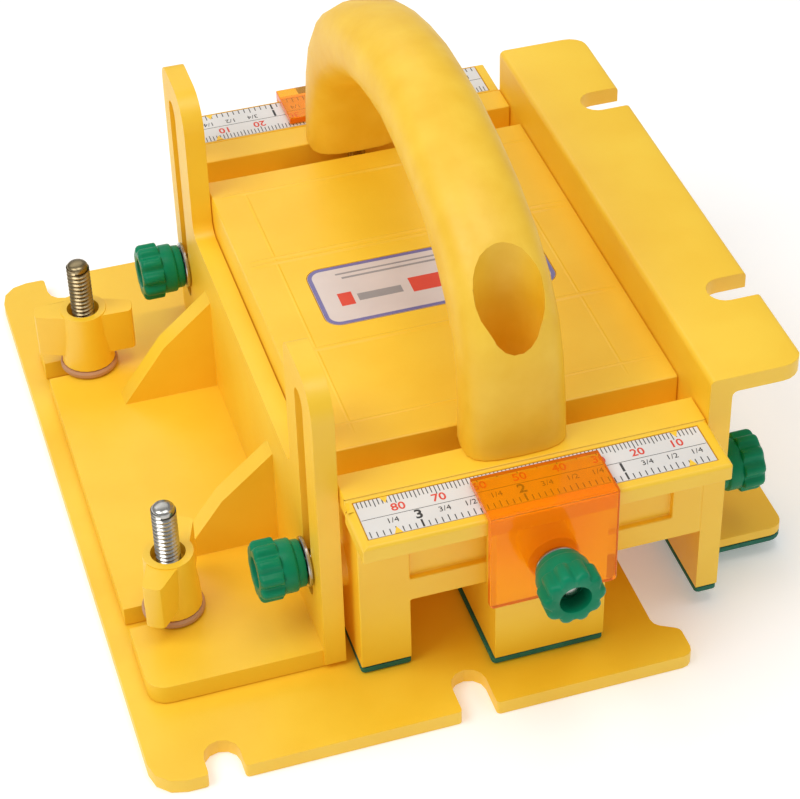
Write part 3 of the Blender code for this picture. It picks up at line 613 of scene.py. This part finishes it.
def ridge(name, start, end, width, height):
    """Low smooth swelling between two points on the deck, round in section."""
    along = (end - start).normalized()
    across = Vector((0, 0, 1)).cross(along)
    bm = bmesh.new()
    rows = []
    steps, columns = 24, 11
    for i in range(steps + 1):
        t = i / steps
        fade = min(1.0, 12 * t, 12 * (1 - t))
        centre = start.lerp(end, t)
        profile = []
        for k in range(columns):
            s = 2 * k / (columns - 1) - 1
            profile.append((s * width / 2, height * fade * (0.5 + 0.5 * math.cos(math.pi * s))
                            - 0.02 * MM))
        profile += [(width / 2, -MARK_SUNK), (-width / 2, -MARK_SUNK)]
        rows.append([bm.verts.new(centre + across * u + Vector((0, 0, v))) for u, v in profile])
    for one, two in zip(rows, rows[1:]):
        bridge(bm, one, two)
    bm.faces.new(rows[0])
    bm.faces.new(rows[-1])
    return settle(new_piece(name, bm, 60.0), YELLOW, "main_block", None)


# marks across and along the deck: name, distance from its centre plane or left edge, width
# and height, all in millimetres
ACROSS = (("front_rib_mark", -20.4, 2.4, 0.42), ("rear_rib_mark", 17.8, 2.0, 0.45),
          ("rear_rib_step", 20.0, 1.6, 0.36), ("front_end_mark", -50.0, 1.4, 0.20),
          ("rear_end_mark", 50.8, 1.8, 0.42))
ALONG = (("left_mould_line", 9.8, 1.2, 0.16), ("right_mould_line", 80.5, 1.2, 0.16))

left, right = body_low.x + 2.2 * MM, body_high.x - 1.0 * MM
for name, offset, wide, high in ACROSS:
    y = CENTRE_Y + offset * MM
    ridge(name, Vector((left, y, DECK_TOP)), Vector((right, y, DECK_TOP)), wide * MM,
          high * MM)
near, far = CENTRE_Y - 56 * MM, CENTRE_Y + 56 * MM
for name, inset, wide, high in ALONG:
    x = body_low.x + inset * MM
    ridge(name, Vector((x, near, DECK_TOP)), Vector((x, far, DECK_TOP)), wide * MM, high * MM)


# ---- seam between the block and its right leg ------------------------------------------

def make_right_leg_seam():
    """Thin fills behind the two webs' faces, where the right leg is bonded on."""
    wall_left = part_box("right_leg_bracket")[0].x
    web_low, web_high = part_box("left_leg_pad")
    bm = bmesh.new()
    for face_y, inward in ((web_low.y, 1), (web_high.y, -1)):
        bar(bm, body_high.x - 0.5 * MM, wall_left + 0.5 * MM, face_y + inward * 0.08 * MM,
            face_y + inward * 5.0 * MM, WEB_UNDER, WEB_TOP)
    settle(new_piece("right_leg_seam", bm, 20.0), YELLOW, "main_block", None)


make_right_leg_seam()


# ---- floor, light and camera -----------------------------------------------------------

floor = rounded_plate("floor", -FLOOR_HALF, FLOOR_HALF, -FLOOR_HALF, FLOOR_HALF, 0.1,
                      -10.0 * MM, -0.2 * MM)
floor.data.materials.append(FLOOR)

world = bpy.data.worlds.new("studio")
bpy.context.scene.world = world
world.use_nodes = True
backdrop = world.node_tree.nodes["Background"]
backdrop.inputs["Color"].default_value = (1.0, 1.0, 1.0, 1.0)
backdrop.inputs["Strength"].default_value = 0.40


def softbox(name, where, size, power, aim=(0.0, 0.0, 0.03)):
    light = bpy.data.lights.new(name, "AREA")
    light.shape = "RECTANGLE"
    light.size, light.size_y = size
    light.energy = power
    lamp = bpy.data.objects.new(name, light)
    lamp.location = where
    lamp.rotation_euler = (Vector(aim) - Vector(where)).to_track_quat("-Z", "Y").to_euler()
    bpy.context.scene.collection.objects.link(lamp)


softbox("key_light", (-0.60, -0.15, 0.90), (0.6, 0.6), 4.6)
softbox("top_light", (0.10, -0.15, 1.15), (0.5, 0.5), 2.8)
softbox("fill_light", (0.75, -0.45, 0.70), (0.8, 0.8), 0.8)
softbox("back_light", (-0.15, 0.85, 0.80), (0.9, 0.5), 1.5)

AZIMUTH, ELEVATION = math.radians(-18.655), math.radians(40.117)
CAMERA_PLACE = (-0.11795, -0.49855, 0.4549)
back = Vector((math.sin(AZIMUTH) * math.cos(ELEVATION), -math.cos(AZIMUTH) * math.cos(ELEVATION),
               math.sin(ELEVATION)))
side_way = Vector((math.cos(AZIMUTH), math.sin(AZIMUTH), 0.0))
up = back.cross(side_way)
lens = bpy.data.cameras.new("camera")
lens.lens = 111.65
lens.sensor_width = 36.0
lens.shift_x = -0.101
lens.clip_start, lens.clip_end = 0.01, 20.0
camera = bpy.data.objects.new("camera", lens)
camera.matrix_world = Matrix.Translation(CAMERA_PLACE) @ Matrix(
    (side_way, up, back)).transposed().to_4x4()
bpy.context.scene.collection.objects.link(camera)
bpy.context.scene.camera = camera
bpy.context.scene.view_settings.view_transform = "Standard"
